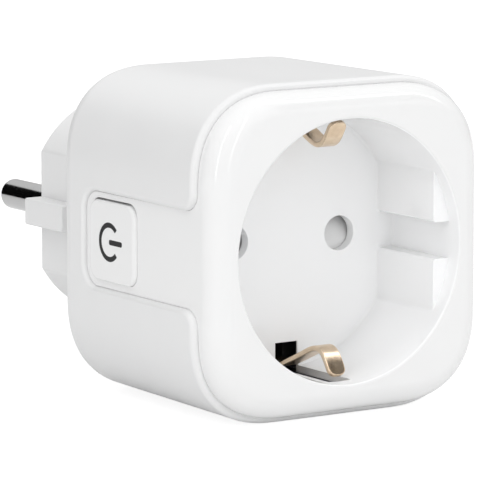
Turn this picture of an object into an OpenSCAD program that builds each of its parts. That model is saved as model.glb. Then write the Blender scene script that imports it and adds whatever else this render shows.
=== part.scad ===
// Plug-in power meter: a cube-shaped mains adapter with a two-pin plug behind,
// an earthed socket in front and a push button on its left side.
// Axes: +X to the right, +Y towards the wall (plug pins), +Z up.
// The origin is the middle of the face the plug pins stand on.

/* [Body] */
// Width of the housing across its front lip
body_w = 49.6; // [46:0.2:60]
// Height of the housing across its front lip
body_h = 49.6; // [46:0.2:60]
// Length from the socket face to the face the pins stand on
depth = 63.4; // [60:0.2:80]
// Length of the plug body that enters a wall socket
boss_len = 19.9; // [17:0.1:24]
// Radius of the four long corners of the housing
corner_r = 12.6; // [9:0.2:16]
// Wall thickness of the housing
wall = 1.9; // [1.5:0.1:2.4]
// Step between the lip of the housing and the front cover
lip = 0.95; // [0.4:0.05:1.4]
// Depth of the front cover before its seam
cover_d = 4.2; // [3.4:0.1:6]

/* [Socket] */
// Diameter of the round socket well
well_d = 39; // [38:0.1:40]
// Depth of the socket well
well_depth = 17; // [16:0.1:18]
// Distance between the two flat keys inside the well
key_w = 33; // [32:0.1:35]
// Width of the groove in each key
groove_w = 5.5; // [4.6:0.1:6.4]
// Distance between the two pin holes, and between the two plug pins
pitch = 19; // [18.6:0.1:19.4]
// Diameter of a pin hole in the floor of the well
hole_d = 5.3; // [5:0.1:5.8]
// Thickness of the floor of the well
floor_t = 1.6; // [1.2:0.1:2.4]
// Width of an earth spring
clip_w = 3; // [2.4:0.1:4]
// Distance between the humps of the two earth springs
clip_gap = 29.2; // [27:0.1:32]

/* [Plug] */
// Diameter of a plug pin
pin_d = 4.8; // [4:0.1:4.8]
// Length of a plug pin outside the plug face
pin_len = 19; // [17:0.1:19.5]
// Diameter of the round plug body
boss_d = 35.8; // [34.5:0.1:37]
// Width of the plug body across its flats
boss_flat = 30.8; // [29:0.1:33]
// Width across the two guide ribs
rib_w = 36.4; // [35:0.1:37]
// Diameter of the earth hole in the plug face
earth_d = 5; // [4.8:0.1:5.4]

/* [Button] */
// Length of the button along the housing
button_l = 12.6; // [9:0.1:15]
// Height of the button
button_h = 12; // [9:0.1:13]
// Gap around the button
button_gap = 0.3; // [0.2:0.05:0.5]
// Height of the side panel that holds the button
panel_h = 14.2; // [13:0.1:17]
// Distance from the socket face to the middle of the button
button_at = 27; // [24:0.1:30]

/* [Hidden] */
$fn = 48;
e = 0.01;
hw = body_w / 2;
hh = body_h / 2;
face = -depth;
seam = face + cover_d;
rear = -boss_len;
cw = hw - lip - 0.05;
ch = hh - lip - 0.05;
iw = hw - lip - 1.25;
ih = hh - lip - 1.25;
well_r = well_d / 2;
cup_r = well_r + 1.1;
front_in = face + 2.2;
floor_y = face + well_depth;
floor_b = floor_y + floor_t;
hole_r = hole_d / 2;
pp = pitch / 2;
pin_r = pin_d / 2;
boss_r = boss_d / 2;
boss_ir = boss_r - 1.8;
boss_iw = boss_flat / 2 - 1.8;
// layers behind the floor
carrier_y = floor_b + 2.4;
carrier_b = carrier_y + 2;
strap_y = floor_b + 12.2;
board_y = floor_b + 13.8;
board_b = board_y + 1.6;
// fixing screws near the corners
sx = hw - 8.2;
sz = hh - 8.2;
// earth springs
slot_w = clip_w + 1;
clip_t = 0.8;
clip_z = well_r - 0.6;
clip_pivot = strap_y - 0.2;
hump = clip_gap / 2;
// button
by = face + button_at;
panel_end = by + button_l / 2 + 1.6;
cap_out = -(cw + 0.55);
panel_in = -(cw - 1.6);
stem_end = panel_in + 0.85;
sw_x = stem_end + 0.75;
ctl_x = sw_x + 3;
sym_r = 2.94;
sym_y = by + 0.7;

// Rounded-square block along Y with corner radius rc; p lists [y, inset]
module block(hx, hz, rc, p) {
  k = len(p);
  plate_x(rc - hx, hx - rc) polygon(concat([for (q = p) [q[0], hz - q[1]]],
    [for (i = [1:k]) [p[k - i][0], p[k - i][1] - hz]]));
  translate([0, 0, rc - hz]) linear_extrude(2 * (hz - rc)) polygon(concat([for (q = p) [hx - q[1], q[0]]],
    [for (i = [1:k]) [p[k - i][1] - hx, p[k - i][0]]]));
  for (a = [-1, 1], b = [-1, 1]) translate([a * (hx - rc), 0, b * (hz - rc)]) rotate([-90, 0, 0])
    rotate_extrude($fn = 64) polygon(concat([[0, p[0][0]]], [for (q = p) [rc - q[1], q[0]]], [[0, p[k - 1][0]]]));
}

// Plate of a flat section in X and Z between two Y values
module plate_y(y0, y1) translate([0, y1, 0]) rotate([90, 0, 0])
  linear_extrude(y1 - y0) children();
// Plate of a flat section in Y and Z between two X values
module plate_x(x0, x1) translate([x0, 0, 0]) rotate([90, 0, 90])
  linear_extrude(x1 - x0) children();
module cyl_y(x, z, y0, y1, r) translate([x, y1, z]) rotate([90, 0, 0])
  cylinder(r = r, h = y1 - y0);
module cyl_x(y, z, x0, x1, r) translate([x0, y, z]) rotate([0, 90, 0])
  cylinder(r = r, h = x1 - x0);
module box(x0, x1, y0, y1, z0, z1) translate([x0, y0, z0])
  cube([x1 - x0, y1 - y0, z1 - z0]);
module rrect(l, h, r) hull() for (a = [-1, 1], b = [-1, 1])
  translate([a * (l / 2 - r), b * (h / 2 - r)]) circle(r);
// Four screw ears reaching out from a round wall
module ears(y0, y1, r) for (a = [-1, 1], b = [-1, 1]) {
  cyl_y(a * sx, b * sz, y0, y1, r);
  rotate([0, -atan2(b * sz, a * sx), 0]) box(cup_r - 0.8, norm([sx, sz]), y0, y1, -r - 0.3, r + 0.3);
}
module corners() for (a = [-1, 1], b = [-1, 1]) translate([a * sx, 0, b * sz]) children();

// Outline of the side panel of the cover in Y and Z, filleted at its root
module panel_2d(g = 0) {
  offset(r = g - 3) offset(delta = 3) union() {
    translate([seam - 4, -hh]) square([4, body_h]);
    translate([seam - 1, -panel_h / 2]) square([panel_end - 4 - seam + 1, panel_h]);
    translate([panel_end - 8, 0]) rrect2(8, panel_h, 3);
  }
}
module rrect2(l, h, r) translate([l / 2, 0]) rrect(l, h, r);

// Glossy square cover with the round mouth of the socket and the side panel
module front_cover() color([0.95, 0.95, 0.95]) {
  difference() {
    union() {
      block(cw, ch, corner_r - lip, concat([for (t = [0:15:75]) [face + 4 * (1 - cos(t)), 3.8 * (1 - sin(t))]],
        [[face + 4, 0], [seam, 0]]));
      block(cw - wall - 0.2, ch - wall - 0.2, corner_r - lip - wall, [[seam - 1, 0], [seam + 2.6, 0]]);
    }
    block(cw - wall - 1.2, ch - wall - 1.2, corner_r - lip - wall - 1.2, [[front_in, 0], [seam + 3, 0]]);
    for (a = [-1, 1]) box(-slot_w / 2 - 0.2, slot_w / 2 + 0.2, front_in + 0.6, seam + 3,
      a > 0 ? ch - wall - 2 : -ch + wall + 0.6, a > 0 ? ch - wall - 0.6 : -ch + wall + 2);
    translate([0, face, 0]) rotate([-90, 0, 0]) rotate_extrude($fn = 96)
      polygon([[0, -1], [well_r + 0.5, -1], [well_r + 0.5, 0], [well_r + 0.15, 0.15], [well_r, 0.5],
        [well_r, cover_d + 4], [0, cover_d + 4]]);
  }
  difference() {
    intersection() {
      plate_x(-cw, panel_in) panel_2d();
      box(-hw - 3, 0, seam - 0.4, panel_end + 2, -ch + corner_r, ch - corner_r);
    }
    plate_x(-hw - 2, panel_in + 1) translate([by, 0])
      rrect(button_l + 2 * button_gap, button_h + 2 * button_gap, 2.2);
  }
}

// Cup of the socket: floor, pin holes, flat keys with grooves, earth slots
module socket_well() color([0.93, 0.93, 0.93]) difference() {
  union() {
    difference() {
      union() {
        cyl_y(0, 0, front_in, floor_b, cup_r, $fn = 96);
        ears(floor_y, floor_b, 2.7);
      }
      cyl_y(0, 0, front_in - 1, floor_y, well_r, $fn = 96);
    }
    intersection() {
      cyl_y(0, 0, face + 2.6, floor_y + 0.2, well_r + 0.2, $fn = 96);
      for (a = [-1, 1]) difference() {
        box(a > 0 ? key_w / 2 : -well_r - 2, a > 0 ? well_r + 2 : -key_w / 2,
          face + 2, floor_y + 0.2, -well_r, well_r);
        box(-well_r, well_r, face + 1, floor_y, -groove_w / 2, groove_w / 2);
      }
    }
  }
  for (a = [-1, 1]) {
    cyl_y(a * pp, 0, floor_y - 1, floor_b + 1, hole_r);
    translate([a * pp, floor_y - e, 0]) rotate([-90, 0, 0]) cylinder(r1 = hole_r + 0.35, r2 = hole_r, h = 0.36);
    box(-slot_w / 2, slot_w / 2, face + 3, floor_b + 1,
      a > 0 ? well_r - 3.8 : -cup_r - 1, a > 0 ? cup_r + 1 : -well_r + 3.8);
  }
  corners() cyl_y(0, 0, floor_y - 1, floor_b + 1, 1.5);
}

// Satin housing with the plug body, corner posts and board ledges
module rear_housing() color([0.93, 0.93, 0.92]) difference() {
  union() {
    difference() {
      block(hw, hh, corner_r, [[seam + 0.2, lip - 0.1], [seam + 0.45, 0.42], [seam + 0.8, 0.16], [seam + 1.4, 0],
        [rear - 16, 0.2], [rear - 6.5, 0.45], [rear - 4, 0.85], [rear - 2.4, 1.7], [rear - 1.1, 3.1],
        [rear - 0.3, 4.7], [rear, 5.9]]);
      block(hw - lip - 1.15, hh - lip - 1.15, corner_r - lip - 1.15, [[seam - 1, 0], [rear - 7, 0.1], [rear - 4.4, 1],
        [rear - 1.9, 3.3]]);
    }
    corners() cyl_y(0, 0, carrier_y, rear - 1.6, 2.9);
    for (a = [-1, 1], b = [-1, 1]) box(a * 9.8 - 1, a * 9.8 + 1, board_b, rear - 1.5,
      b > 0 ? ih - 4.4 : -ih + 1.4, b > 0 ? ih - 1.4 : -ih + 4.4);
    intersection() {
      cyl_y(0, 0, rear - 1.5, 0, boss_r, $fn = 96);
      box(-boss_flat / 2, boss_flat / 2, rear - 2, 1, -boss_r, boss_r);
    }
    for (a = [-1, 1]) box(a > 0 ? boss_flat / 2 - 1 : -rib_w / 2, a > 0 ? rib_w / 2 : -boss_flat / 2 + 1,
      -11.4, 0, -2.1, 2.1);
  }
  intersection() {
    cyl_y(0, 0, rear - 2.5, 1, boss_ir, $fn = 96);
    box(-boss_iw, boss_iw, rear - 3, 2, -boss_r, boss_r);
  }
  for (a = [-1, 1]) box(-3.2, 3.2, -15.4, 1, a > 0 ? boss_ir - 1 : -boss_r - 1, a > 0 ? boss_r + 1 : -boss_ir + 1);
  corners() cyl_y(0, 0, carrier_y - 1, carrier_y + 9, 1.3);
  plate_x(-hw - 2, panel_in + 3) panel_2d(0.2);
}

// Face of the plug with the sockets that hold the pins
module plug_insert() color([0.94, 0.94, 0.93]) difference() {
  union() {
    intersection() {
      cyl_y(0, 0, -3, 0, boss_ir - 0.05, $fn = 96);
      box(-boss_iw + 0.05, boss_iw - 0.05, -4, 1, -boss_r, boss_r);
    }
    for (a = [-1, 1]) cyl_y(a * pp, 0, -9, -2.5, pin_r + 1.7);
  }
  for (a = [-1, 1]) {
    cyl_y(a * pp, 0, -10, 1, pin_r - 0.47);
    cyl_y(a * pp, 0, -0.4, 1, pin_r + 0.05);
    box(-3.2, 3.2, -4, 1, a > 0 ? boss_ir - 1 : -boss_r, a > 0 ? boss_r : -boss_ir + 1);
  }
  cyl_y(0, 10, -4, 1, earth_d / 2 + 0.1);
  translate([0, 0, 10]) rotate([90, 0, 0]) translate([0, 0, -e]) cylinder(r1 = earth_d / 2 + 0.6, r2 = earth_d / 2 + 0.1, h = 0.5);
  cyl_y(0, 10, -4, -1.2, earth_d / 2 + 0.7);
}

// Solid plug pin with a rounded tip and a thinner solder shank
module plug_pin(x) translate([x, 0, 0]) rotate([-90, 0, 0]) union() {
  rotate_extrude() polygon(concat([[0, board_y - 1.4], [1.6, board_y - 1.4], [1.6, -10], [pin_r - 0.5, -9.4],
    [pin_r - 0.5, 0], [pin_r, 0], [pin_r, pin_len - 0.9]], [for (t = [10:16:90]) [pin_r - 0.9 + 0.9 * cos(t), pin_len - 0.9 + 0.9 * sin(t)]],
    [[0, pin_len]]));
}
module plug_pin_left() color([0.75, 0.75, 0.75]) plug_pin(-pp);
module plug_pin_right() color([0.75, 0.75, 0.75]) plug_pin(pp);

// One bent strip that makes both side earth contacts of the plug
module plug_earth_yoke() color([0.8, 0.8, 0.78]) difference() {
  union() {
    for (a = [-1, 1]) plate_x(-3, 3) scale([1, a]) polygon([
    [-13.4, 10], [-12.6, 10], [-12.6, boss_ir - 0.3], [-1, boss_ir + 0.3], [-0.9, boss_ir + 0.45],
    [-1.6, boss_ir + 1.25], [-14.4, boss_ir + 1.25], [-14.9, boss_ir + 0.6], [-14.9, boss_ir - 0.4],
    [-13.4, boss_ir - 0.7]]);
    box(-3, 3, -13.4, -12.6, -10.5, 10.5);
    cyl_y(0, 10, -13.4, -12.6, 4.8);
  }
  cyl_y(0, 10, -14, -12, earth_d / 2 + 0.7);
}

// Tube that takes the earth pin of a wall socket
module earth_pin_tube() color([0.78, 0.72, 0.5]) difference() {
  cyl_y(0, 10, -17.4, -1.2, earth_d / 2 + 0.7);
  cyl_y(0, 10, -16.4, 0, earth_d / 2);
}

// Closed outline of a strip of thickness t along the points p
function turn(v) = [-v[1], v[0]] / norm(v);
function side(p, t) = [for (i = [0:len(p) - 1]) let (
  u = i > 0 ? turn(p[i] - p[i - 1]) : turn(p[1] - p[0]),
  w = i < len(p) - 1 ? turn(p[i + 1] - p[i]) : u, c = (u + w) / norm(u + w))
  p[i] + c * t / 2 / (c * u)];
function strip(p, t) = concat(side(p, t), [for (q = side([for (i = [1:len(p)]) p[len(p) - i]], t)) q]);

// Bent spring strip of the socket earth contact, drawn for the top side
module earth_clip() plate_x(-clip_w / 2, clip_w / 2) polygon(strip([
  [clip_pivot, clip_z], [floor_y - 0.4, clip_z], [floor_y - 1.4, clip_z - 0.3],
  [face + 11.4, hump + 2.1], [face + 8.4, hump + 0.85], [face + 7.1, hump + 0.45], [face + 6.2, hump + 0.55],
  [face + 5.6, hump + 1.1], [face + 3.5, well_r - 0.8]], clip_t));
module earth_clip_top() color([0.83, 0.7, 0.45]) earth_clip();
module earth_clip_bottom() color([0.83, 0.7, 0.45]) mirror([0, 0, 1]) earth_clip();

// Strap that ties the earth springs to the earth parts of the plug
module earth_strap() color([0.8, 0.66, 0.4]) difference() {
  union() {
    box(-2, 2, strap_y, strap_y + 0.8, -clip_z - 1, clip_z + 1);
    box(-2, 2, strap_y, -13.4, 13.9, 14.7);
    for (a = [-1, 1]) box(-2, 2, strap_y - 1.4, strap_y + 0.8,
      a > 0 ? clip_z + clip_t / 2 + 0.4 : -clip_z - clip_t / 2 - 1.2, a > 0 ? clip_z + clip_t / 2 + 1.2 : -clip_z - clip_t / 2 - 0.4);
    box(-2, 2, -14.2, -13.4, 10, 14.7);
  }
  cyl_y(0, 10, -15, -12, earth_d / 2 + 0.7);
}

// Split tube that grips a pin of the appliance plug
module socket_contact(x) {
  difference() {
    union() {
      cyl_y(x, 0, carrier_y + 0.2, strap_y - 1.2, 3);
      cyl_y(x, 0, strap_y - 1.8, strap_y - 1, 4.05);
    }
    cyl_y(x, 0, carrier_y, strap_y - 1.8, pin_r + 0.05);
    box(x - 0.4, x + 0.4, carrier_y, strap_y - 3.2, -4, 4);
    box(x - 4, x + 4, carrier_y, strap_y - 3.2, -0.4, 0.4);
  }
  box(x + (x > 0 ? 1.8 : -2.8), x + (x > 0 ? 2.8 : -1.8), strap_y - 1.2, board_b + 1.2, -2.8, -1.2);
}
module socket_contact_left() color([0.85, 0.68, 0.4]) socket_contact(-pp);
module socket_contact_right() color([0.85, 0.68, 0.4]) socket_contact(pp);

// Moulding behind the floor: pockets for the contacts and the shutter pivot
module contact_carrier() color([0.9, 0.88, 0.82]) difference() {
  union() {
    cyl_y(0, 0, carrier_y, carrier_b, cup_r - 0.4, $fn = 96);
    difference() {
      cyl_y(0, 0, floor_b, carrier_y + 0.5, cup_r - 0.4, $fn = 96);
      cyl_y(0, 0, floor_b - 1, carrier_y, cup_r - 1.6, $fn = 96);
    }
    ears(floor_b, carrier_y, 2.9);
    for (a = [-1, 1]) cyl_y(a * pp, 0, carrier_y, strap_y - 0.2, 5);
    cyl_y(0, 0, floor_b + 0.1, carrier_y + 0.5, 1.5);
    for (a = [-1, 1]) cyl_y(a * 8, a * 4.35, floor_b + 0.1, carrier_y + 0.5, 1.2);
    cyl_y(3.45, 9.5, floor_b + 0.1, carrier_y + 0.5, 1.2);
  }
  for (a = [-1, 1]) {
    cyl_y(a * pp, 0, carrier_y + 0.6, strap_y, 4.1);
    cyl_y(a * pp, 0, carrier_y - 1, carrier_b + 1, 3.1);
    box(-slot_w / 2, slot_w / 2, floor_b - 1, carrier_b + 1, a > 0 ? well_r - 3.2 : -cup_r - 1, a > 0 ? cup_r + 1 : -well_r + 3.2);
  }
  corners() cyl_y(0, 0, floor_b - 1, carrier_y + 1, 1.5);
}

// Turning shutter with a ramp in front of each pin hole
module shutter() color([0.93, 0.93, 0.93]) difference() {
  union() {
    cyl_y(0, 0, floor_b + 0.15, carrier_y - 0.35, 3.6);
    plate_y(floor_b + 0.15, carrier_y - 0.35) hull() for (a = [-1, 1])
      translate([a * (pp + 0.2), 0]) circle(3.1);
  }
  cyl_y(0, 0, floor_b - 1, carrier_y + 1, 1.55);
  for (a = [-1, 1]) translate([a * (pp + 0.4), floor_b + 0.15, -a * 1.3]) rotate([-a * 22, 0, 0])
    box(-3.6, 3.6, -3, 0, a > 0 ? -2 : -6, a > 0 ? 6 : 2);
}

// Coil spring that turns the shutter back over the holes
module shutter_spring() color([0.7, 0.7, 0.72]) {
  translate([0, carrier_y - 0.17, 0]) rotate([-90, 0, 0])
    rotate_extrude() translate([2.1, 0]) circle(0.14, $fn = 16);
  translate([2.1, carrier_y - 0.17, 0.05]) cylinder(r = 0.11, h = 10.5, $fn = 16);
}

// Four identical screws through the well and carrier into the posts
module fixing_screws() color([0.7, 0.7, 0.7]) corners() difference() {
  union() {
    cyl_y(0, 0, floor_y, carrier_y + 8, 1.28);
    cyl_y(0, 0, floor_y - 1.5, floor_y, 2.25);
  }
  for (a = [0, 90]) rotate([0, a, 0]) box(-1.3, 1.3, floor_y - 2, floor_y - 0.7, -0.3, 0.3);
}

// Shape of the power symbol in Y and Z, opening forwards
module symbol_2d() {
  difference() {
    translate([sym_y, 0]) circle(sym_r);
    translate([sym_y, 0]) circle(sym_r - 0.78);
    translate([sym_y, 0]) polygon([[0, 0], [-6, 5.6], [-6, -5.6]]);
  }
  translate([sym_y - 1.75, 0]) square([3.6, 0.8], center = true);
}

// Outline of the cap with its outer edge rounded
function cap_edge(h) = concat([for (t = [0:22.5:90]) [cap_out + 0.65 * (1 - cos(t)), h - 0.65 * (1 - sin(t))]],
  [[panel_in + 1, h], [panel_in + 1, -h]],
  [for (t = [90:-22.5:0]) [cap_out + 0.65 * (1 - cos(t)), -h + 0.65 * (1 - sin(t))]]);

// Button cap with a flange behind the panel and a stem for the switch
module button_cap() color([0.95, 0.95, 0.95]) difference() {
  union() {
    intersection() {
      plate_x(cap_out, panel_in + 0.35) translate([by, 0]) rrect(button_l, button_h, 2.1);
      rotate([90, 0, 0]) linear_extrude(200, center = true) polygon(cap_edge(button_h / 2));
      translate([0, by, 0]) linear_extrude(200, center = true) polygon(cap_edge(button_l / 2));
    }
    plate_x(panel_in + 0.15, panel_in + 0.65) translate([by, 0]) rrect(button_l + 1.4, button_h + 1, 2.2);
    cyl_x(by, 0, panel_in, stem_end, 2);
  }
  plate_x(cap_out - 1, cap_out + 0.5) symbol_2d();
}

// Tinted window in the shape of the power symbol
module button_symbol() color([0.15, 0.15, 0.16]) plate_x(cap_out, cap_out + 0.5) symbol_2d();

module switch_plunger() color([0.2, 0.2, 0.2]) cyl_x(by, 0, stem_end, sw_x + 0.9, 1.6);
module switch_body() color([0.3, 0.3, 0.3]) difference() {
  box(sw_x, ctl_x, by - 3, by + 3, -3, 3);
  cyl_x(by, 0, sw_x - 1, sw_x + 1.5, 1.65);
}

// Upright board behind the button with the radio parts
module control_board() color([0.1, 0.4, 0.2])
  box(ctl_x, ctl_x + 1, by - 3.6, board_y + 6, -8.5, 8.5);
module wifi_chip() color([0.12, 0.12, 0.12])
  box(ctl_x + 1, ctl_x + 1.7, board_b + 0.4, board_b + 4, -6.4, -2.6);
module wifi_shield() color([0.8, 0.8, 0.8]) difference() {
  box(ctl_x + 1, ctl_x + 3, by - 3.2, by + 2.6, 5, 8.2);
  box(ctl_x + 0.5, ctl_x + 2.7, by - 2.9, by + 2.3, 5.3, 7.9);
}
module status_led() color([0.9, 0.9, 0.85]) {
  box(ctl_x - 0.9, ctl_x, sym_y - 0.8, sym_y + 0.8, 3.6, 5.2);
  translate([ctl_x - 0.9, sym_y, 4.4]) rotate([0, -90, 0]) cylinder(r = 0.6, h = 0.3);
}

// Board across the housing that carries the power parts
module main_board() color([0.1, 0.42, 0.22]) difference() {
  plate_y(board_y, board_b) rrect(2 * iw - 1, 2 * ih - 1, corner_r - 3);
  corners() cyl_y(0, 0, board_y - 1, board_b + 1, 3.3);
  for (a = [-1, 1], b = [-1, 1]) box(a > 0 ? sx - 0.5 : -hw, a > 0 ? hw : -sx + 0.5, board_y - 1, board_b + 1,
    b > 0 ? sz - 0.5 : -hh, b > 0 ? hh : -sz + 0.5);
  box(-hw, ctl_x + 1, board_y - 1, board_b + 1, -8.6, 8.6);
  box(-2.3, 2.3, board_y - 1, board_b + 1, 13.6, 15);
  for (a = [-1, 1]) {
    cyl_y(a * pp, 0, board_y - 1, board_b + 1, 1.6);
    box(a > 0 ? pp + 1.8 : -pp - 2.8, a > 0 ? pp + 2.8 : -pp - 1.8, board_y - 1, board_b + 1, -2.8, -1.2);
  }
}

module relay() color([0.15, 0.3, 0.6]) box(-9.8, 9.8, board_b, board_b + 15.2, -12.4, -2.4);
module mains_capacitor() color([0.15, 0.15, 0.2]) difference() {
  cyl_y(-7.8, 8.8, board_b, board_b + 11, 4);
  cyl_y(-7.8, 8.8, board_b + 10.8, board_b + 12, 3.2);
}
module output_capacitor() color([0.2, 0.25, 0.5]) difference() {
  cyl_y(7.9, 8.2, board_b, board_b + 8.4, 3.15);
  cyl_y(7.9, 8.2, board_b + 8.2, board_b + 9, 2.5);
}
module varistor() color([0.1, 0.35, 0.7]) union() {
  cyl_x(board_b + 3.6, -7.5, 14.6, 17.8, 3.3);
  for (a = [-1, 1]) cyl_y(16.2, -7.5 + a * 1.8, board_b, board_b + 2, 0.35, $fn = 16);
}
module fuse_resistor() color([0.35, 0.55, 0.4]) union() {
  cyl_x(board_b + 2.4, 17, -7.4, -0.2, 1.7);
  cyl_x(board_b + 2.4, 17, -8, 0.4, 0.3, $fn = 16);
  for (x = [-7.8, 0.2]) cyl_y(x, 17, board_b, board_b + 2.5, 0.3, $fn = 16);
}
module choke() color([0.3, 0.3, 0.3]) union() {
  cyl_y(15.2, 7.6, board_b, board_b + 1, 3.4);
  cyl_y(15.2, 7.6, board_b + 0.8, board_b + 5.2, 2.5);
  cyl_y(15.2, 7.6, board_b + 5, board_b + 6, 3.4);
}
module metering_chip() color([0.1, 0.1, 0.1]) union() {
  box(8, 12.9, board_y - 1.6, board_y - 0.1, -14.4, -10.6);
  for (i = [0:3], a = [-1, 1]) box(8.35 + 1.27 * i, 8.75 + 1.27 * i, board_y - 0.9, board_y,
    a > 0 ? -10.8 : -15.4, a > 0 ? -9.6 : -14.2);
}
module shunt() color([0.75, 0.55, 0.4]) plate_x(-6, -2.8) difference() {
  polygon([[board_y, -16], [board_y - 2.4, -16], [board_y - 2.4, -9], [board_y, -9]]);
  polygon([[board_y + 2, -15], [board_y - 1.4, -15], [board_y - 1.4, -10], [board_y + 2, -10]]);
}

front_cover();
socket_well();
rear_housing();
plug_insert();
plug_pin_left();
plug_pin_right();
plug_earth_yoke();
earth_pin_tube();
earth_clip_top();
earth_clip_bottom();
earth_strap();
socket_contact_left();
socket_contact_right();
contact_carrier();
shutter();
shutter_spring();
fixing_screws();
button_cap();
button_symbol();
switch_plunger();
switch_body();
control_board();
wifi_chip();
wifi_shield();
status_led();
main_board();
relay();
mains_capacitor();
output_capacitor();
varistor();
fuse_resistor();
choke();
metering_chip();
shunt();
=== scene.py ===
# A plug-in power meter standing on a table: a cube-shaped mains adapter with a
# two-pin plug behind, an earthed socket in front and a push button on its side.
from math import atan2, cos, hypot, pi, radians, sin, tan

import bpy
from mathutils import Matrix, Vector


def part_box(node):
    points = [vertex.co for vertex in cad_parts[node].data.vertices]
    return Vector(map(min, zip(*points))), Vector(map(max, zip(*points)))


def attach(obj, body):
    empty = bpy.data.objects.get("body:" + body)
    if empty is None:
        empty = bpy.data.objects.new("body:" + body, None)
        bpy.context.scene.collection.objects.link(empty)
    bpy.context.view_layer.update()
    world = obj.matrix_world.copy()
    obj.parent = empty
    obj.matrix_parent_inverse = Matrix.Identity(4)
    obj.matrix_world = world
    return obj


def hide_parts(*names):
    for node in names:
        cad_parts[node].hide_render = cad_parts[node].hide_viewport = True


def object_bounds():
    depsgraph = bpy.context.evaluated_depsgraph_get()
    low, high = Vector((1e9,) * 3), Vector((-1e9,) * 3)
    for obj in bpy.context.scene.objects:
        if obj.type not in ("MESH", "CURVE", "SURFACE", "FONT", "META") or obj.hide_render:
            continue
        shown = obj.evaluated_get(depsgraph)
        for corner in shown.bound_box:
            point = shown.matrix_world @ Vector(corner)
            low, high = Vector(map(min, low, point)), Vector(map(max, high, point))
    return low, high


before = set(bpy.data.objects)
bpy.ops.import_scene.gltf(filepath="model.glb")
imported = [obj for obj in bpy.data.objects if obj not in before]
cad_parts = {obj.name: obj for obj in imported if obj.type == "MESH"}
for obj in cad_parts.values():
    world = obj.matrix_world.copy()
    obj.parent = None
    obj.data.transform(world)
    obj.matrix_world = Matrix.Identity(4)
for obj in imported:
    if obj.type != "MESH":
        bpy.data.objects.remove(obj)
cad_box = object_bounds()
mm = 0.001


# ---------------------------------------------------------------- Studio
# The adapter stands on a pale table under soft light from all round. Three
# narrow strip lamps give the gloss its long highlights, and two dark cards
# beside it give the metal parts something to mirror.
class Signal:
    """One output of a shader node. Sums and products of signals add Math nodes."""

    def __init__(self, tree, socket=None):
        self.tree, self.socket = tree, socket

    def node(self, kind, settings=None, inputs=None, out=0):
        made = self.tree.nodes.new(kind)
        for name, value in (settings or {}).items():
            if name == "stops":
                ramp = made.color_ramp.elements
                while len(ramp) < len(value):
                    ramp.new(0.5)
                for stop, (place, shade) in zip(ramp, value):
                    stop.position, stop.color = place, shade
            else:
                setattr(made, name, value)
        for name, value in (inputs or {}).items():
            if isinstance(value, Signal):
                self.tree.links.new(value.socket, made.inputs[name])
            else:
                made.inputs[name].default_value = value
        return Signal(self.tree, made.outputs[out])

    def math(self, operation, one, other):
        return self.node("ShaderNodeMath", {"operation": operation}, {0: one, 1: other})

    def __add__(self, other):
        return self.math("ADD", self, other)

    def __rsub__(self, other):
        return self.math("SUBTRACT", other, self)

    def __mul__(self, other):
        return self.math("MULTIPLY", self, other)

    __radd__ = __add__

    def noise(self, scale, detail=2.0):
        """Noise over these coordinates."""
        return self.node("ShaderNodeTexNoise", None, {"Vector": self, "Scale": scale, "Detail": detail}, "Fac")

    def drawn_noise(self, scales, detail):
        """Noise with its own scale along each axis, for lines left by a tool."""
        return self.node("ShaderNodeMapping", None, {"Vector": self, "Scale": scales}).noise(1.0, detail)

    def between(self, dark, light):
        """A colour that this signal moves between two tones."""
        return self.node("ShaderNodeMix", {"data_type": "RGBA"}, {0: self, 6: (*dark, 1), 7: (*light, 1)}, 2)

    def bump(self, strength, depth):
        """A relief that follows this signal, with its depth in mm."""
        return self.node("ShaderNodeBump", None, {"Height": self, "Strength": strength, "Distance": depth * mm})


def paint(name, **constants):
    """A new material with one Principled shader. Gives the material, a Signal of
    Object coordinates, and a function that feeds a signal to a shader socket."""
    material = bpy.data.materials.new(name)
    material.use_nodes = True
    tree = material.node_tree
    tree.nodes.clear()
    shader = tree.nodes.new("ShaderNodeBsdfPrincipled")
    end = tree.nodes.new("ShaderNodeOutputMaterial")
    tree.links.new(shader.outputs[0], end.inputs[0])
    for socket, value in constants.items():
        shader.inputs[socket.replace("_", " ")].default_value = value
    place = Signal(tree).node("ShaderNodeTexCoord", out="Object")

    def feed(socket, signal):
        tree.links.new(signal.socket, shader.inputs[socket])

    return material, place, feed


table_top = cad_box[0].z - 0.02 * mm
middle = Vector((0, -0.04, 0))
# Only the camera sees the table and the room. The bounce board, just under the
# table and unseen itself, is what the adapter mirrors and is lit by.
for name, glow, tone in (("table", 0.84, 0.30), ("table_bounce", 0.0, 0.86), ("white_room", 1.02, 0.0)):
    bounce, lighter = name == "table_bounce", tone * 1.04
    if name == "white_room":
        bpy.ops.mesh.primitive_uv_sphere_add(segments=32, ring_count=16, radius=4)
    else:
        bpy.ops.mesh.primitive_plane_add(size=6, location=(0, 0, table_top - (0.001 if bounce else 0)))
    board = bpy.context.object
    board.name = name
    bare, place, feed = paint(name + "_white", Roughness=0.9, Emission_Color=(1, 1, 1, 1),
                              Emission_Strength=glow)
    feed("Base Color", place.noise(3.0).between((tone, tone, tone), (lighter, lighter, lighter)))
    board.data.materials.append(bare)
    board.visible_camera = not bounce
    board.visible_diffuse = board.visible_glossy = board.visible_transmission = bounce
    board.visible_shadow = False

world = bpy.data.worlds.new("studio")
bpy.context.scene.world = world
world.use_nodes = True
sky = world.node_tree.nodes["Background"]
sky.inputs["Color"].default_value = (1, 1, 1, 1)
toward = Signal(world.node_tree).node("ShaderNodeTexCoord", out="Generated")
part = toward.node("ShaderNodeSeparateXYZ", None, {0: toward})
side, depth, up = (Signal(world.node_tree, part.socket.node.outputs[i]) for i in range(3))
# A little brighter from the front, and much brighter from above.
level = 0.55 - depth * 0.06 + up * 0.635
world.node_tree.links.new(level.socket, sky.inputs["Strength"])
bpy.context.scene.view_settings.view_transform = "Standard"


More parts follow.
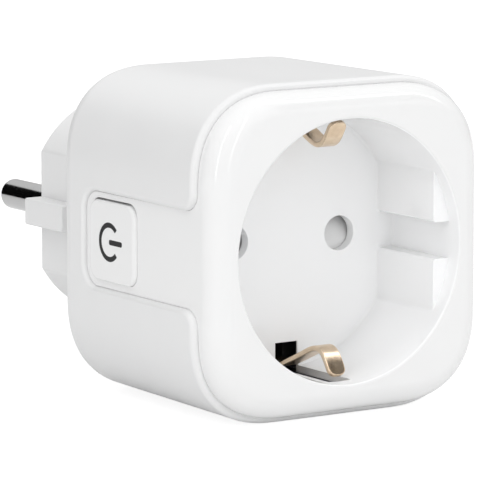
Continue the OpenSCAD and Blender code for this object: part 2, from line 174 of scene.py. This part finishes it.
def aim_at(thing, place, target):
    thing.location = place
    thing.rotation_mode = "QUATERNION"
    thing.rotation_quaternion = (Vector(target) - Vector(place)).to_track_quat("-Z", "Y")


def lamp(name, place, target, width, height, power):
    light = bpy.data.lights.new(name, "AREA")
    light.shape, light.size, light.size_y, light.energy = "RECTANGLE", width, height, power
    thing = bpy.data.objects.new(name, light)
    bpy.context.scene.collection.objects.link(thing)
    aim_at(thing, place, target)
    thing.visible_camera = False


lamp("left_strip", (-0.87, -0.54, 0.4), middle, width=0.08, height=1.5, power=1.9)
lamp("near_strip", (-0.10, -1.03, 0.4), middle, width=0.08, height=1.5, power=1.4)
lamp("top_strip", (0.50, -0.30, 0.71), middle, width=0.10, height=0.9, power=1.0)

for name, spot, target, width, height in (
        ("dark_card_behind", (-0.15, 0.29, 0.085), (0, 0, 0.085), 0.36, 0.21),
        ("dark_card_above", (0.19, -0.24, 0.21), (0, -0.06, -0.017), 0.14, 0.12)):
    bpy.ops.mesh.primitive_plane_add(size=1)
    card = bpy.context.object
    card.name = name
    card.scale = (width, height, 1)
    aim_at(card, spot, target)
    felt, place, feed = paint(name + "_felt", Roughness=1.0, IOR=1.0)
    feed("Base Color", place.noise(40.0).between((0.001, 0.001, 0.001), (0.003, 0.003, 0.003)))
    card.data.materials.append(felt)
    card.visible_camera = card.visible_shadow = False

camera = bpy.data.objects.new("camera", bpy.data.cameras.new("camera"))
bpy.context.scene.collection.objects.link(camera)
bpy.context.scene.camera = camera
look_from, look_up, distance = radians(-33.26), radians(8.48), 0.56
aim = Vector((-4.46, -40.6, -0.67)) * mm
back = Vector((sin(look_from) * cos(look_up), -cos(look_from) * cos(look_up), sin(look_up)))
aim_at(camera, aim + back * distance, aim)
camera.data.sensor_width, camera.data.lens = 36, 281
camera.data.clip_start, camera.data.clip_end = 0.01, 20


# ---------------------------------------------------------------- Housing
# Moulded satin white shell with the round plug body on its back. Its front
# edge is a rounded lip that runs round the cover and down both sides of the
# side panel, as one edge of the tool.
def stand_clear():
    """Leaves edit mode with nothing selected."""
    if bpy.context.mode != "OBJECT":
        bpy.ops.object.mode_set(mode="OBJECT")
    bpy.ops.object.select_all(action="DESELECT")


def settle(piece):
    """Leaves edit mode with the piece selected alone and active."""
    stand_clear()
    piece.select_set(True)
    bpy.context.view_layer.objects.active = piece
    return piece


def block(name, low, high):
    """A box between two corners, in mm, with its place in its mesh."""
    stand_clear()
    low, high = Vector(low) * mm, Vector(high) * mm
    bpy.ops.mesh.primitive_cube_add(size=1, location=(low + high) / 2)
    piece = bpy.context.object
    piece.name = piece.data.name = name
    piece.scale = high - low
    bpy.ops.object.transform_apply(location=True, rotation=True, scale=True)
    return piece


def drum(name, x, z, radius, y0, y1, sides=96, far_radius=None):
    """A cylinder along Y between y0 and y1, or a cone if its far radius differs, in mm."""
    stand_clear()
    bpy.ops.mesh.primitive_cone_add(
        vertices=sides, radius1=radius * mm, radius2=(radius if far_radius is None else far_radius) * mm,
        depth=(y1 - y0) * mm, location=(x * mm, (y0 + y1) / 2 * mm, z * mm), rotation=(-pi / 2, 0, 0))
    piece = bpy.context.object
    piece.name = piece.data.name = name
    bpy.ops.object.transform_apply(location=True, rotation=True, scale=True)
    return piece


def choose(piece, kind, test):
    """Opens a piece in edit mode with only the faces, edges or points selected
    that pass the test. Faces give middle and normal, edges both ends, in mm."""
    settle(piece)
    data = piece.data
    for group in (data.vertices, data.edges, data.polygons):
        group.foreach_set("select", [False] * len(group))
    if kind == "FACE":
        for face in data.polygons:
            face.select = test(face.center / mm, face.normal)
    elif kind == "EDGE":
        for edge in data.edges:
            a, b = (data.vertices[i].co / mm for i in edge.vertices)
            edge.select = test(a, b)
    else:
        for point in data.vertices:
            point.select = test(point.co / mm)
    bpy.context.tool_settings.mesh_select_mode = (kind == "VERT", kind == "EDGE", kind == "FACE")
    bpy.ops.object.mode_set(mode="EDIT")


def round_edges(piece, radius, steps, test):
    choose(piece, "EDGE", test)
    bpy.ops.mesh.bevel(offset=radius * mm, segments=steps, profile=0.5, affect="EDGES", clamp_overlap=True)
    return settle(piece)


def combine(piece, other, how="DIFFERENCE"):
    """Cuts another shape out of a piece, or joins it on, and uses it up."""
    settle(piece)
    tool = piece.modifiers.new(how.lower(), "BOOLEAN")
    tool.operation, tool.object, tool.solver = how, other, "EXACT"
    bpy.ops.object.modifier_apply(modifier=tool.name)
    bpy.data.objects.remove(other)
    return piece


def soften(piece, angle=32):
    """Smooth shading that keeps the flats flat."""
    settle(piece)
    bpy.ops.object.shade_smooth_by_angle(angle=radians(angle))
    tool = piece.modifiers.new("normals", "WEIGHTED_NORMAL")
    tool.keep_sharp = True
    bpy.ops.object.modifier_apply(modifier=tool.name)
    return piece


def dress(piece, *materials):
    """Gives a piece its finish, in place of any it has."""
    piece.data.materials.clear()
    for material in materials:
        piece.data.materials.append(material)


def flatten(piece, reach):
    """Cuts both sides of a round piece flat, at a distance from its axis in mm."""
    for side in (-1, 1):
        choose(piece, "FACE", lambda c, n: True)
        bpy.ops.mesh.bisect(plane_co=(side * reach * mm, 0, 0), plane_no=(side, 0, 0),
                            use_fill=True, clear_outer=True)
    return settle(piece)


def squared(name, half, y0, y1, flat=10.3):
    """A square bar along Y whose long corners swell gently out of its flats,
    which reach a given way to each side of the middle."""
    bar = block(name, (-half, y0, -half), (half, y1, half))
    choose(bar, "EDGE", lambda a, b: abs(a.y - b.y) > 1)
    bpy.ops.mesh.bevel(offset=(half - flat) * mm, segments=26, profile=0.5554, affect="EDGES")
    return settle(bar)


def tongue(name, x0, x1, grow):
    """The outline of the side panel as a prism along X, with rounded rear
    corners and with two fillets where it leaves the front cover."""
    corner_r, fillet_r = 3, 2.95
    long = block(name, (x0, seam - 3, -panel_half - grow), (x1, panel_end + grow, panel_half + grow))
    bar = block("bar", (x0, seam - 3, -panel_half - 3), (x1, seam + grow, panel_half + 3))
    combine(long, bar, "UNION")
    round_edges(long, corner_r + grow, 10, lambda a, b: min(a.y, b.y) > panel_end - 1 and abs(a.x - b.x) > 1)
    return round_edges(long, fillet_r - grow, 10, lambda a, b: abs(a.x - b.x) > 1 and all(
        abs(p.y - seam - grow) < 0.01 and abs(p.z) < panel_half + 1 for p in (a, b)))


low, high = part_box("rear_housing")
half, lip_front, rear, plug_face = high.x / mm, low.y / mm, -19.9, high.y / mm
wall, rear_r, lip_r, taper = 1.9, 5.0, 0.9, 0.018
panel_end, panel_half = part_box("front_cover")[1].y / mm, 7.1
seam = lip_front - 0.2
lip_front = seam + 0.08
panel_gap = 0.04

shell = squared("housing_shell", half, lip_front, rear)
choose(shell, "FACE", lambda c, n: n.y > 0.9)
bpy.ops.transform.resize(value=(1 - taper, 1, 1 - taper / 2), center_override=(0, rear * mm, 0))
bpy.ops.transform.translate(value=(0, 0, 0.15 * mm))
round_edges(shell, rear_r, 10, lambda a, b: min(a.y, b.y) > rear - 0.01)
choose(shell, "FACE", lambda c, n: n.y < -0.9)
bpy.ops.mesh.delete(type="FACE")
settle(shell)
thick = shell.modifiers.new("wall", "SOLIDIFY")
thick.thickness, thick.offset, thick.use_even_offset = wall * mm, -1, True
bpy.ops.object.modifier_apply(modifier=thick.name)


def outer_rim(p):
    """True for a point on the outside of the front edge, not on its inner wall.
    The outline is close to a superellipse of this power."""
    power = 4.35
    return (abs(p.x) ** power + abs(p.z) ** power) ** (1 / power) > half - 0.7 and abs(p.y - lip_front) < 0.01


def lip_edge(a, b):
    """True for the edges where the cutter's tongue leaves its outer slab."""
    at_side = all(-half - 0.3 < p.x < -half + 1 for p in (a, b))
    along_panel = all(abs(p.z) < panel_half + 2.99 and seam - 0.01 < p.y < panel_end + 1 for p in (a, b))
    return at_side and (along_panel or all(abs(p.y - seam - panel_gap) < 0.02 for p in (a, b)))


# The cutter for the side panel's opening is a tongue with a slab outside the
# shell. The slab leans with the taper, and the rounding between the two
# leaves the lip on the shell.
round_edges(shell, lip_r, 6, lambda a, b: outer_rim(a) and outer_rim(b))
slab_end, slab_lead = panel_end + 3, 4.2
lean = taper * half * (slab_end - lip_front) / (rear - lip_front)
opening = tongue("opening", -40, -half + 5, panel_gap)
slab = block("slab", (-41, seam - 4, -panel_half - 3), (-half - 0.02, slab_end, panel_half + 3))
choose(slab, "VERT", lambda p: p.x > -30 and p.y > panel_end)
bpy.ops.transform.translate(value=(lean * mm, 0, 0))
choose(slab, "VERT", lambda p: p.x > -30 and p.y < seam)
bpy.ops.transform.translate(value=(-lean * slab_lead / (slab_end - lip_front) * mm, 0, 0))
combine(opening, settle(slab), "UNION")
round_edges(opening, lip_r - 0.02, 6, lip_edge)
combine(shell, opening)

boss_r, boss_flat, boss_wall, rib = 17.9, 15.4, 1.8, 18.2
boss = drum("boss", 0, 0, boss_r, rear - 1.5, plug_face, 128)
flatten(boss, boss_flat)
round_edges(boss, 0.7, 4, lambda a, b: min(a.y, b.y) > plug_face - 0.01)
ribs = block("ribs", (-rib, -11.4, -2.1), (rib, plug_face - 0.05, 2.1))
round_edges(ribs, 0.35, 3, lambda a, b: True)
combine(boss, ribs, "UNION")
combine(shell, boss, "UNION")
hollow = drum("hollow", 0, 0, boss_r - boss_wall, rear - 4, 2, 128)
combine(shell, flatten(hollow, boss_flat - boss_wall))
for side in (-1, 1):
    notch = block("notch", (-3.2, -15.4, side * 17.6 - 2.6), (3.2, 1, side * 17.6 + 2.6))
    round_edges(notch, 0.5, 3, lambda a, b: abs(a.z - b.z) > 1 and a.y < 0)
    combine(shell, notch)
soften(shell)

satin, place, feed = paint("satin_white", IOR=1.46)
grain, patch = place.noise(5200.0), place.noise(90.0, 3.0)
feed("Base Color", patch.between((0.785, 0.787, 0.79), (0.81, 0.811, 0.811)))
feed("Roughness", 0.25 + patch * 0.08 + grain * 0.05)
feed("Normal", grain.bump(0.35, 0.012))
dress(shell, satin)
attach(shell, "housing")
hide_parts("rear_housing")


# ---------------------------------------------------------------- Front cover
# Polished white cover clipped into the front of the shell. It is one moulding
# with the side panel that carries the button, so the two share one flat side.
low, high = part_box("front_cover")
face, cover_half, well_r = low.y / mm, high.z / mm, 19.5
cover = squared("front_cover_gloss", cover_half, face, panel_end + 2)
round_edges(cover, 3.5, 10, lambda a, b: max(a.y, b.y) < face + 0.01)
behind = block("behind", (-30, seam, -30), (30, panel_end + 5, 30))
combine(behind, tongue("panel", -40, -cover_half + 1.6, 0))
combine(cover, behind)
sleeve = block("sleeve", (-21.7, seam - 1, -21.7), (21.7, seam + 2.6, 21.7))
round_edges(sleeve, 9.6, 10, lambda a, b: abs(a.y - b.y) > 1)
combine(cover, sleeve, "UNION")
room = block("room", (-20.7, face + 2.2, -20.7), (20.7, seam + 6, 20.7))
round_edges(room, 8.6, 10, lambda a, b: abs(a.y - b.y) > 1)
combine(cover, settle(room))
button_y, button_long, button_tall, button_r = -36.4, 6.3, 6.0, 2.1
window = block("window", (-30, button_y - button_long - 0.05, -button_tall - 0.04),
               (-21, button_y + button_long + 0.12, button_tall + 0.28))
round_edges(window, button_r, 8, lambda a, b: abs(a.x - b.x) > 1)
combine(cover, window)
combine(cover, drum("mouth", 0, 0, well_r, face - 1, face + 3, 128))
round_edges(cover, 0.4, 4, lambda a, b: all(
    abs(p.y - face) < 0.01 and hypot(p.x, p.z) < well_r + 0.1 for p in (a, b)))
soften(cover)


def polished(name, dark, light):
    """Polished white plastic between two near tones, with a faint orange peel."""
    material, place, feed = paint(name, IOR=1.49)
    peel = place.noise(420.0, 1.0)
    haze = place.noise(60.0, 3.0)
    feed("Base Color", haze.between(dark, light))
    feed("Roughness", 0.03 + haze * 0.06)
    feed("Normal", peel.bump(0.25, 0.01))
    return material


gloss = polished("gloss_white", (0.825, 0.827, 0.83), (0.85, 0.85, 0.848))
# The cup is the cover's white painted lighter: painted light that makes up for the shade deep in the well.
cup_painted_light_gloss = polished("cup_white_painted_light", (0.943, 0.947, 0.952), (0.960, 0.964, 0.968))
dress(cover, gloss, cup_painted_light_gloss)
# The wall of the mouth continues the cup, so it takes the cup's white, which is painted lighter than the
# cover's as painted light for the shade in the well.
for facet in cover.data.polygons:
    facet.material_index = int(abs(hypot(facet.center.x, facet.center.z) / mm - well_r) < 0.1)
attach(cover, "housing")
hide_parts("front_cover")


# ---------------------------------------------------------------- Socket well
# Round cup moulded in polished white: two flat keys, each with a groove, two
# chamfered pin holes, and a slot at top and bottom for the earth springs.
floor_y, floor_back, key, groove = face + 17, face + 18.6, 16.5, 2.75
right_key_start, left_key_start = 2.6, 5.4
hole_x, hole_r, slot_z, screw_at = 9.5, 2.65, 18.6, 16.6
well = drum("socket_cup", 0, 0, well_r + 1.1, face + 2.2, floor_back, 128)
cavity = drum("cavity", 0, 0, well_r, face + 1, floor_y, 128)
for side, start in ((-1, left_key_start), (1, right_key_start)):
    near, far = sorted((side * key, side * 24))
    lug = block("lug", (near, face + start, -15), (far, floor_y + 1, 15))
    combine(lug, block("groove", (near - 1, face + 2, -groove), (far + 1, floor_y + 2, groove)))
    combine(cavity, lug)
round_edges(cavity, 0.5, 4, lambda a, b: abs(a.y - b.y) > 5 and all(
    abs(abs(p.x) - key) < 0.01 and abs(p.z) < groove + 0.1 for p in (a, b)))
round_edges(cavity, 0.6, 5, lambda a, b: all(
    abs(p.y - face - right_key_start) < 0.01 and abs(p.x - key) < 0.01 for p in (a, b)))
round_edges(cavity, 0.4, 3, lambda a, b: all(abs(p.y - floor_y) < 0.01 for p in (a, b)))
combine(well, cavity)
for side in (-1, 1):
    low_z, high_z = side * slot_z - 2.9, side * slot_z + 2.9
    combine(well, block("slot", (-2, face + 3, low_z), (2, floor_back + 1, high_z)))
    combine(well, block("undercut", (-2.6, floor_y + 0.3, low_z), (3.6, floor_back + 1, high_z)))
    combine(well, drum("hole", side * hole_x, 0, hole_r, floor_y - 1, floor_back + 1, 64))
round_edges(well, 0.32, 4, lambda a, b: all(
    abs(p.y - floor_y) < 0.01 and abs(hypot(abs(p.x) - hole_x, p.z) - hole_r) < 0.02 for p in (a, b)))
for x in (-screw_at, screw_at):
    for z in (-screw_at, screw_at):
        ear = drum("ear", x, z, 2.7, floor_y, floor_back, 32)
        combine(ear, drum("bore", x, z, 1.5, floor_y - 1, floor_back + 1, 32))
        combine(ear, drum("inside", 0, 0, well_r + 0.5, floor_y - 1, floor_back + 1, 128))
        combine(well, ear, "UNION")
soften(well)
# The cup takes the lighter painted white, which stands in for light inside the deep well.
dress(well, cup_painted_light_gloss)
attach(well, "housing")
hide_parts("socket_well")


# ---------------------------------------------------------------- Earth springs
# Two bronze strips, bent from 0.8 mm sheet with a hump that presses on the
# side contact of an appliance plug. The bottom one is the top one turned over.
low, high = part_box("earth_clip_top")
strip_half, sheet = high.x / mm, 0.8
route = [(-32.8, 18.9), (-46.8, 18.9), (-51.8, 16.75), (-54.6, 15.45),
         (-56.3, 15.0), (-57.6, 15.45), (-58.65, 16.65), (-59.95, 18.8)]
strip = block("earth_spring_top", (-strip_half, route[0][0] - 1, route[0][1] - 1),
              (strip_half, route[0][0], route[0][1]))
choose(strip, "VERT", lambda p: p.y < route[0][0] - 0.5 or p.z < route[0][1] - 0.5)
bpy.ops.mesh.delete(type="VERT")
for (y0, z0), (y1, z1) in zip(route, route[1:]):
    choose(strip, "VERT", lambda p: abs(p.y - y0) < 0.01 and abs(p.z - z0) < 0.01)
    bpy.ops.mesh.extrude_region_move(TRANSFORM_OT_translate={"value": (0, (y1 - y0) * mm, (z1 - z0) * mm)})
round_edges(strip, 0.6, 4, lambda a, b: abs(a.x - b.x) > 2 and route[-1][0] + 0.1 < a.y < route[0][0] - 0.1)
choose(strip, "VERT", lambda p: abs(p.y - route[-1][0]) < 0.01)
bpy.ops.mesh.bevel(offset=1.2 * mm, segments=6, affect="VERTICES", clamp_overlap=True)
settle(strip)
thick = strip.modifiers.new("sheet", "SOLIDIFY")
thick.thickness, thick.offset, thick.use_even_offset = sheet * mm, 0, True
bpy.ops.object.modifier_apply(modifier=thick.name)
rim = strip.modifiers.new("edge", "BEVEL")
rim.width, rim.segments, rim.limit_method, rim.angle_limit = 0.2 * mm, 3, "ANGLE", radians(50)
rim.use_clamp_overlap = False
bpy.ops.object.modifier_apply(modifier=rim.name)
soften(strip, 40)

bronze, place, feed = paint("bronze", Metallic=1.0)
lines = place.drawn_noise((9000.0, 500.0, 500.0), 3.0)
tarnish = place.noise(420.0, 4.0)
tone = tarnish.node("ShaderNodeValToRGB", {"stops": [
    (0.3, (0.64, 0.49, 0.34, 1)), (0.55, (0.79, 0.635, 0.47, 1)), (0.8, (0.86, 0.72, 0.56, 1))]}, {0: tarnish})
feed("Base Color", tone)
feed("Roughness", 0.13 + lines * 0.14 + tarnish * 0.06)
feed("Normal", lines.bump(0.3, 0.01))
dress(strip, bronze)
lower = strip.copy()
lower.data = strip.data.copy()
lower.name = lower.data.name = "earth_spring_bottom"
bpy.context.scene.collection.objects.link(lower)
settle(lower)
lower.rotation_euler = (0, pi, 0)
bpy.ops.object.transform_apply(location=True, rotation=True, scale=True)
for piece, node in ((strip, "earth_clip_top"), (lower, "earth_clip_bottom")):
    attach(piece, node)
    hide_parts(node)


# ---------------------------------------------------------------- Push button
# Polished white cap with rounded edges, moulded round a smoked window in the
# shape of the power symbol, with a flange behind the panel and a stem.
low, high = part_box("button_cap")
cap_out = low.x / mm
cap = block("button", (cap_out, button_y - button_long, -button_tall),
            (-21.85, button_y + button_long, button_tall))
round_edges(cap, button_r, 8, lambda a, b: abs(a.x - b.x) > 1)
# The rounding of the rim is widest along the front and narrows within 2 mm.
weights = cap.data.attributes.new("bevel_weight_edge", "FLOAT", "EDGE")
for edge in cap.data.edges:
    a, b = (cap.data.vertices[i].co / mm for i in edge.vertices)
    if max(a.x, b.x) < cap_out + 0.01:
        behind_front = (a.y + b.y) / 2 - button_y + button_long
        weights.data[edge.index].value = max(1 - behind_front / 3, 0.35)
lip = cap.modifiers.new("lip", "BEVEL")
lip.limit_method, lip.width, lip.segments = "WEIGHT", 1.4 * mm, 8
bpy.ops.object.modifier_apply(modifier=lip.name)
flange = block("flange", (-22.05, button_y - 7, -6.5), (-21.55, button_y + 7, 6.5))
round_edges(flange, 2.2, 6, lambda a, b: abs(a.x - b.x) > 0.3)
combine(cap, flange, "UNION")
ring_y, ring_r, ring_w = button_y + 0.7, 2.94, 0.78


def disc(name, radius, x0, x1, sides=72):
    """A short cylinder along X on the middle of the power symbol, in mm."""
    stand_clear()
    bpy.ops.mesh.primitive_cylinder_add(vertices=sides, radius=radius * mm, depth=(x1 - x0) * mm,
                                        location=((x0 + x1) / 2 * mm, ring_y * mm, 0), rotation=(0, pi / 2, 0))
    piece = bpy.context.object
    piece.name = piece.data.name = name
    bpy.ops.object.transform_apply(location=True, rotation=True, scale=True)
    return piece


def power_symbol(name, x0, x1):
    """Ring open towards the front, with rounded ends, and a bar in its gap."""
    ring = disc(name, ring_r, x0, x1)
    combine(ring, disc("core", ring_r - ring_w, x0 - 1, x1 + 1))
    gap = radians(43)
    wedge = block("wedge", (x0 - 1, ring_y - 8, -8 * tan(gap)), (x1 + 1, ring_y, 8 * tan(gap)))
    choose(wedge, "FACE", lambda c, n: n.y > 0.9)
    bpy.ops.transform.resize(value=(1, 1, 0.001), center_override=(0, 0, 0))
    combine(ring, settle(wedge))
    round_edges(ring, 0.3, 4, lambda a, b: abs(a.x - b.x) > 0.1
                and abs(atan2(abs(a.z), ring_y - a.y) - gap) < 0.01)
    bar = block("bar", (x0, ring_y - 3.6, -0.4), (x1, ring_y + 0.1, 0.4))
    round_edges(bar, 0.3, 4, lambda a, b: abs(a.x - b.x) > 0.1)
    combine(ring, bar, "UNION")
    return settle(ring)


combine(cap, power_symbol("recess", cap_out - 0.5, cap_out + 0.5))
stem = disc("stem", 2.0, -21.7, high.x / mm)
choose(stem, "VERT", lambda p: True)
bpy.ops.transform.translate(value=(0, (button_y - ring_y) * mm, 0))
combine(cap, settle(stem), "UNION")
soften(cap)
dress(cap, gloss)
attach(cap, "button")
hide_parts("button_cap")

symbol = power_symbol("button_window", cap_out + 0.03, cap_out + 0.5)
soften(symbol)
smoke, place, feed = paint("smoke", Roughness=0.4, IOR=1.36)
fleck = place.noise(2500.0)
feed("Base Color", fleck.between((0.006, 0.006, 0.007), (0.014, 0.014, 0.015)))
dress(symbol, smoke)
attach(symbol, "button")
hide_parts("button_symbol")


# ---------------------------------------------------------------- Plug pins
# Two solid nickel-plated brass pins, turned with a rounded tip and a thinner
# shank that is pressed into the plug face and soldered to the main board.
low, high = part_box("plug_pin_right")
pin_x = (low.x + high.x) / 2 / mm
pin_r, shank_end = 2.4, 9.4
pin = drum("pin_right", pin_x, 0, pin_r, 0, high.y / mm, 64)
round_edges(pin, 0.9, 6, lambda a, b: min(a.y, b.y) > high.y / mm - 0.01)
for step, reach in ((0.5, shank_end), (0.3, -low.y / mm - shank_end)):
    choose(pin, "FACE", lambda c, n: n.y < -0.9)
    bpy.ops.mesh.inset(thickness=step * mm)
    bpy.ops.mesh.extrude_region_move(TRANSFORM_OT_translate={"value": (0, -reach * mm, 0)})
soften(pin)
nickel, place, feed = paint("nickel", Metallic=1.0)
turned = place.drawn_noise((300.0, 14000.0, 300.0), 2.0)
bloom = place.noise(260.0, 4.0)
feed("Base Color", bloom.between((0.50, 0.50, 0.51), (0.58, 0.58, 0.57)))
feed("Roughness", 0.05 + turned * 0.07 + bloom * 0.04)
feed("Normal", turned.bump(0.2, 0.004))
dress(pin, nickel)
other = pin.copy()
other.data = pin.data.copy()
other.name = other.data.name = "pin_left"
bpy.context.scene.collection.objects.link(other)
settle(other)
other.location.x = -2 * pin_x * mm
bpy.ops.object.transform_apply(location=True, rotation=True, scale=True)
for piece, node in ((pin, "plug_pin_right"), (other, "plug_pin_left")):
    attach(piece, "housing")
    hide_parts(node)


# ---------------------------------------------------------------- Inner parts
# Everything that the shell hides: spring contacts, their carrier, the two
# green boards and what is soldered to them. Each keeps the shape of its CAD
# node and takes the finish of the real part, except the contact carrier,
# whose black is painted shade so that the slots in the cup read dark.
def plain(name, dark, light, grain_size, rough, metal=0.0, lift=0.0):
    """A finish with two near tones in patches of a given size in mm, and a fine tooth."""
    material, place, feed = paint(name, Metallic=metal)
    spots = place.noise(1 / (grain_size * mm), 3.0)
    feed("Base Color", spots.between(dark, light))
    feed("Roughness", (rough - 0.06) + spots * 0.12)
    feed("Normal", spots.bump(0.3, lift))
    return material


finishes = {
    "steel": plain("steel", (0.52, 0.53, 0.55), (0.62, 0.62, 0.63), 0.8, 0.28, 1.0, 0.004),
    "copper": plain("copper", (0.72, 0.50, 0.28), (0.80, 0.60, 0.36), 0.9, 0.26, 1.0, 0.004),
    "black": plain("black", (0.018, 0.018, 0.019), (0.03, 0.03, 0.03), 0.25, 0.5, 0.0, 0.01),
    "board_green": plain("board_green", (0.015, 0.11, 0.045), (0.03, 0.17, 0.07), 1.2, 0.35, 0.0, 0.02),
    "relay_blue": plain("relay_blue", (0.02, 0.08, 0.30), (0.03, 0.11, 0.36), 0.7, 0.4, 0.0, 0.01),
    "resistor_green": plain("resistor_green", (0.10, 0.28, 0.16), (0.14, 0.34, 0.20), 0.4, 0.42, 0.0, 0.01),
    "led_white": plain("led_white", (0.80, 0.80, 0.74), (0.86, 0.86, 0.80), 0.4, 0.3, 0.0, 0.005),
    "nickel": nickel, "bronze": bronze, "gloss_white": gloss, "satin_white": satin, "smoke": smoke,
}
fitted = {
    "satin_white": ["plug_insert"],
    "gloss_white": ["shutter"],
    "nickel": ["plug_earth_yoke", "earth_pin_tube"],
    "bronze": ["earth_strap"],
    "copper": ["socket_contact_left", "socket_contact_right", "shunt"],
    "steel": ["shutter_spring", "fixing_screws", "wifi_shield"],
    # The contact carrier is painted black as shade behind the slots; the chips, switch, choke and capacitor are
    # black themselves.
    "black": ["contact_carrier", "switch_plunger", "switch_body", "wifi_chip", "metering_chip", "choke",
              "mains_capacitor"],
    "board_green": ["control_board", "main_board"],
    "resistor_green": ["fuse_resistor"],
    "relay_blue": ["relay", "output_capacitor", "varistor"],
    "led_white": ["status_led"],
}
for finish, nodes in fitted.items():
    for node in nodes:
        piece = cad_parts[node]
        dress(piece, finishes[finish])
